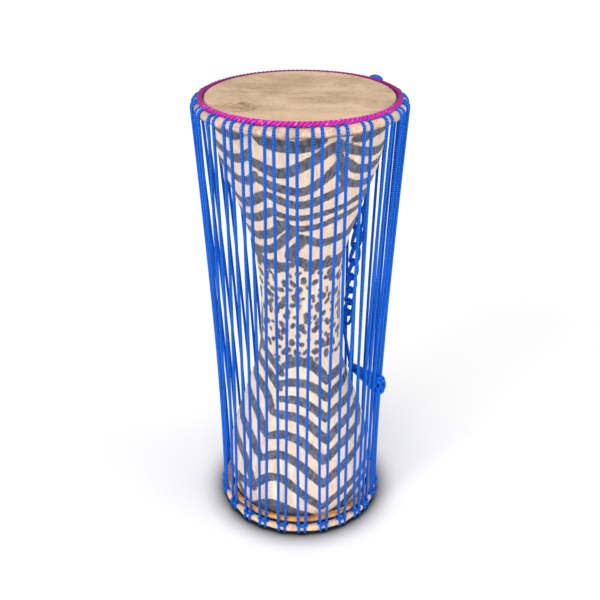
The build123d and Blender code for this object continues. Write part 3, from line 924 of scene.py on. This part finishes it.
strand_profile = [
    (strand_bottom_z, leg_radius),
    (knee_height, leg_radius - knee_inset),
    (squeeze_middle, lacing_radius(squeeze_middle)),
    (strand_top_z, strand_top_radius),
]


def strand_line(number, side):
    """The strand from the left (-1) or right (1) of a hitch up to the bight on that side."""
    turns, bight = divmod(number + max(0, side), bight_count)
    low = hitch_angles[number] + side * bottom_angle
    high = bight_angles[bight] + 360 * turns - side * top_angle
    route = []
    for height, radius in strand_profile:
        share = (height - strand_bottom_z) / (strand_top_z - strand_bottom_z)
        route.append(spot(low + share * (high - low), radius, height))
    return resample(smooth_line(route, strand_spans), strand_step)


def strands_of(first, count):
    """The strands of some neighbouring hitches."""
    numbers = [i % bight_count for i in range(first, first + count)]
    return [strand_line(n, side) for n in numbers for side in (-1, 1)]


def lacing_piece(name, lines, nodes):
    """Strands as one piece that stands for CAD nodes."""
    piece = tubes(name, lines, [cord_radius] * len(lines), blue_cord, cord_sides)
    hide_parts(*nodes)
    return piece


def hold(piece):
    """Bakes a piece's place into its points, on no body."""
    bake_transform(piece)


def build_strands():
    """Whole strands at the front and back, and side strands in the stretches that move apart."""
    half = bight_count // 2
    first_back = first_arm_hitch + arm_hitches
    for node, first in (("front_strands", first_back + half), ("back_strands", first_back)):
        piece = lacing_piece(f"lacing_{node}", strands_of(first, half - arm_hitches), [node])
        hold(piece)
    for side, first in (("arm_side", first_arm_hitch), ("body_side", first_arm_hitch + half)):
        lines = strands_of(first, arm_hitches)
        give = strand_top_z - hoop_stretch

        def stretch(part, low, high, node):
            cut = [cut_by_height(line, low, high) for line in lines]
            return lacing_piece(f"lacing_{side}_{part}", cut, [f"{side}_{node}"])

        hold(stretch("head", give, strand_top_z, "upper"))
        hold(stretch("upper", squeeze_high, give, "upper"))
        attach(stretch("middle", squeeze_low, squeeze_high, "middle"), side)
        hold(stretch("lower", strand_bottom_z, squeeze_low, "lower"))


def round_hoop(ring_radius, height, hug, turn, along):
    """A point of a cord round a hoop: `turn` degrees up from the hoop's outer side."""
    a = radians(turn)
    angle = degrees(along / ring_radius)
    return spot(angle, ring_radius + hug * cos(a), height + hug * sin(a))


def hoop_turns(name, route, per_span, angles, tight_radius, run):
    """A half turn's route with its mirror image at each angle, slimmer past a run of each end."""
    line = smooth_line(route + [p * mirror_x for p in route[::-1]], per_span)
    travel = travel_along(line)
    away = np.minimum(travel, travel[-1] - travel)
    radii = cord_radius + (tight_radius - cord_radius) * np.clip(away / run, 0, 1)
    lines = [turn_about_axis(line, angle) for angle in angles]
    return tubes(name, lines, [radii] * len(lines), blue_cord, cord_sides)


def build_hitches():
    """The lacing's turns round the lower hoop, each closed by a bar over its strands."""
    start = spot(bottom_angle, leg_radius, strand_bottom_z)
    fall = start - spot(bottom_angle, leg_radius - knee_inset, knee_height)
    route = [start, start + unit(fall) * cord_lead]
    foot = lower_z + lower_wrap_hug + 2 * lower_wrap_radius
    route.append(spot(degrees(hitch_front / leg_radius), leg_radius, foot))
    for i in range(hitch_octants):
        spread = min(1, max(0, (i - spread_start) / spread_run))
        along = hitch_front + (hitch_back - hitch_front) * spread
        turn = (first_octant - i) * octant
        route.append(round_hoop(lower_radius, lower_z, lower_wrap_hug * corner, turn, along))
    route.append(round_hoop(lower_radius, lower_z, lower_wrap_hug + bar_lift, octant, hitch_bar))
    piece = hoop_turns("lacing_hitches", route, hitch_spans, hitch_angles, lower_wrap_radius, lower_slim)
    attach(piece, "drum")
    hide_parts("hoop_hitches")


def build_bights():
    """The lacing's turns over the upper roll and under the rope."""
    start = spot(-top_angle, strand_top_radius, strand_top_z)
    rise = start - spot(-top_angle, lacing_radius(squeeze_middle), squeeze_middle)
    route = [start, start + unit(rise) * cord_lead]
    middle_z = upper_z + bight_rise
    for turn, along in ((-0.5, bight_strand), (0.5, bight_strand), (1.5, bight_strand), (2.5, bight_over)):
        route.append(round_hoop(upper_radius, middle_z, upper_wrap_hug * corner, turn * octant, -along))
    route.append(round_hoop(upper_radius, middle_z, upper_wrap_hug, bight_end_turn, -bight_end))
    piece = hoop_turns("lacing_bights", route, bight_spans, bight_angles, upper_wrap_radius, upper_slim)
    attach(piece, "top_hoop")
    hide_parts("top_bights")


# The tail


def knot_line(leads, bights):
    """A woven knot's cord, over and under itself round a ball of radius 1 at the origin."""
    line = []
    count = knot_points * leads
    for i in range(count):
        t = 2 * pi * leads * i / count
        lift = sin(bights * t / leads)
        weave = knot_wave * cos(2 * bights * t / leads + bights * t)
        reach = (1 + weave) * sqrt(max(knot_least, 1 - (knot_round * lift) ** 2))
        line.append([reach * cos(t), reach * sin(t), lift])
    return np.array(line)


def knot_piece(name, angle, middle, size, body, node):
    """A ball knot of cord, with half its size across, outwards and up."""
    across, out, up = (half - slack_radius for half in size)
    ball = knot_line(*knot_weave)
    line = middle + turn_about_axis(ball * (across, out, up), angle)
    piece = tubes(name, [line], [slack_radius], blue_cord, knot_sides, True)
    # how deep each point lies in the ball, kept for painted shade between its cords
    points = points_of(piece)
    away = turn_about_axis(points - middle, -angle) / size
    keep_groove_shade(piece, np.linalg.norm(away, axis=1), *knot_shade_depths)
    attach(piece, body)
    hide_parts(node)


def stitch(start, pitch, along, across, facing):
    """One chain stitch: through the last loop, round its own arch and back behind."""
    depth = 2 * cord_radius + stitch_gap
    eye_half = depth / 2
    arm = 3 * eye_half
    leg = [(eye_half, 0, 0), (eye_half, depth, leg_tuck * depth)]
    leg += [(arm, depth, shoulder * pitch), (arm, 0, pitch + arch_side * depth)]
    leg += [(arch_width * arm, 0, pitch + arch_tip * depth)]
    loop = [(-a, d, s) for a, d, s in leg] + leg[::-1]
    behind = [(eye_half, -depth, back_tuck * depth), (-eye_half, -depth, pitch - back_tuck * depth)]
    return [start + across * a + facing * d + along * s for a, d, s in loop + behind]


def tail_route(knot_middle):
    """The tail's points: a lead into the cage, chain stitches and a drop."""
    depth = 2 * cord_radius + stitch_gap
    along = unit(chain_end - chain_top)
    outward = np.array([chain_top[0], chain_top[1], 0])
    across = unit(np.cross(along, unit(outward)))
    facing = np.cross(across, along)
    route = [
        knot_middle - np.array([0, 0, tail_knot_radius + cord_radius / 2 + knot_gap]),
        spot(lead_angle + lead_turn, strand_top_radius + lead_turn, strand_top_z - lead_drop),
        spot(lead_angle, strand_top_radius - lead_inset, strand_top_z - lead_entry),
        chain_top - along * 2 * depth - facing * depth,
        chain_top - across * depth / 2 - facing * depth,
    ]
    place = chain_top
    for i in range(chain_stitches):
        pitch = first_stitch + (last_stitch - first_stitch) * i / (chain_stitches - 1)
        route += stitch(place, pitch, along, across, facing)
        place = place + along * pitch
    return route + [place + along * 2 * depth - facing * depth, drop_end]


def build_tail():
    """The knot at the head, the chain-stitched tail, its plait and the knot that ties it."""
    hug = upper_hug + cord_radius + tail_knot_radius
    turn = radians(tail_knot_turn)
    head_knot = spot(tail_knot_angle, upper_radius + hug * cos(turn), upper_z + hug * sin(turn))
    knot_piece("tail_head_knot", tail_knot_angle, head_knot, tail_knot_look, "top_hoop", "tail_knot")
    line = smooth_line(tail_route(head_knot), tail_spans)
    chain = tubes("tail_cord", [line], [slack_radius], blue_cord, chain_sides)
    hold(chain)
    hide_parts("tail_chain")
    angle = hitch_angles[side_knot_hitch]
    wall = lacing_radius(side_knot_height)
    ball = spot(angle - side_knot_turn, wall + side_knot_out, side_knot_height)
    size = (side_knot_radius, side_knot_radius, side_knot_half)
    knot_piece("tail_side_knot", angle, ball, size, "drum", "side_knot")
    build_plait(spot(angle - side_knot_turn, wall - plait_inset, side_knot_height, plait_beside))


def build_plait(far):
    """Four cords plaited from the chain's drop to the side knot, spread out towards it."""
    near = drop_end - np.array([0, 0, plait_radius])
    length = np.linalg.norm(far - near)
    way = unit(far - near)
    side = unit(np.cross(way, (0, 0, 1)))
    up = np.cross(side, way)
    lines, radii = [], []
    for k in range(plait_cords):
        shares = np.linspace(0, 1, plait_points)
        phase = 2 * pi * (shares * length / plait_weave + k / plait_cords)
        swell = plait_swell[0] + plait_swell[1] * shares
        sideways = np.sin(phase) * plait_across * swell
        depth = np.sin(2 * phase) * plait_deep * swell
        lines.append(near + np.outer(shares * length, way) + np.outer(sideways, up) + np.outer(depth, side))
        radii.append(plait_thick[0] + plait_thick[1] * shares)
    plait = tubes("tail_plait_cords", lines, radii, blue_cord, knot_sides)
    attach(plait, "drum")
    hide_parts("tail_plait")


# Stage, light and camera

world_light = 0.72  # the world's strength, which the camera sees as white
floor_half = 9.0  # half the floor's side, in metres
contact_shadow_reach = 45.0  # how far the painted contact shadow under the drum reaches
floor_glow = 0.55  # share of the floor's white that shadows don't darken, away from the drum
floor_reach = (90.0, 330.0)  # from the axis, where that share starts and is whole
# Name, strength, and in degrees the width, the height over the floor and the side from the front
lamps = [("front", 1.3, 50, 24, -6), ("fill", 0.7, 40, 30, 72), ("key", 0.85, 14, 40, -44)]


def floor_look():
    """White that the camera sees part lit by itself, so that the shadow on it stays faint, with a painted
    contact shadow darkening it near the drum.
    """
    look = Look("floor_white", roughness=0.9, specular_ior_level=0.1)
    cloud = look.range(look.noise(3.0), 0.3, 0.7)
    # painted shadow: the floor's colour darkens towards (40, 40, 40) where ambient occlusion finds the drum
    # near
    near = look.node("ShaderNodeAmbientOcclusion", {"Distance": contact_shadow_reach * MM}, output="AO")
    pale = look.mix(cloud, (249, 249, 249), (252, 252, 252))
    look.colour(look.mix(look.range(near, 0.4, 1.0), (40, 40, 40), pale))
    glow = look.node("ShaderNodeEmission", {"Color": (1, 1, 1, 1), "Strength": 1.0})
    coords = look.node("ShaderNodeTexCoord", output="Object")
    away = look.node("ShaderNodeVectorMath", {0: coords}, output="Value", operation="LENGTH")
    glow_share = look.range(away, *(reach * MM for reach in floor_reach), 0.0, floor_glow)
    share = look.calc("MULTIPLY", look.seen_ray(), glow_share)
    both = look.node("ShaderNodeMixShader", {0: share, 1: look.shader.outputs[0], 2: glow})
    look.tree.links.new(both, look.tree.nodes["Material Output"].inputs["Surface"])
    return look.material


def lamp(name, strength, spread, elevation, azimuth):
    """A far lamp, aimed at the drum."""
    data = bpy.data.lights.new(name, "SUN")
    data.energy = strength
    data.angle = radians(spread)
    add_object(name, data).rotation_euler = (radians(90 - elevation), 0, radians(azimuth))


def build_stage():
    """A pale floor, a broad front light, a key from the left, a fill from the right and an even world."""
    mesh = bpy.data.meshes.new("floor")
    signs = ((-1, -1), (1, -1), (1, 1), (-1, 1))
    mesh.from_pydata([(x * floor_half, y * floor_half, 0) for x, y in signs], [], [[0, 1, 2, 3]])
    floor = add_object("floor", mesh)
    mesh.materials.append(floor_look())
    for settings in lamps:
        lamp(*settings)
    world = bpy.data.worlds.new("studio")
    world.use_nodes = True
    sky = Nodes(world.node_tree)
    background = sky.tree.nodes["Background"]
    background.inputs["Color"].default_value = (1, 1, 1, 1)
    strength = sky.range(sky.seen_ray(), 0.0, 1.0, world_light, 1.0)
    sky.tree.links.new(strength, background.inputs["Strength"])
    bpy.context.scene.world = world
    bpy.context.scene.view_settings.view_transform = "Standard"


def build_camera():
    """The photograph's camera."""
    data = bpy.data.cameras.new("camera")
    data.sensor_width = sensor_width
    data.lens = focal_pixels * sensor_width / photo_size
    camera = add_object("camera", data)
    camera.location = (eye * MM).tolist()
    camera.rotation_euler = (radians(90 - pitch_down), 0, 0)
    bpy.context.scene.camera = camera


build_camera()
build_tail()
build_strands()
build_hitches()
build_bights()
build_shell()
build_membranes()
build_rolls()
build_rope()
build_cane()
build_stage()
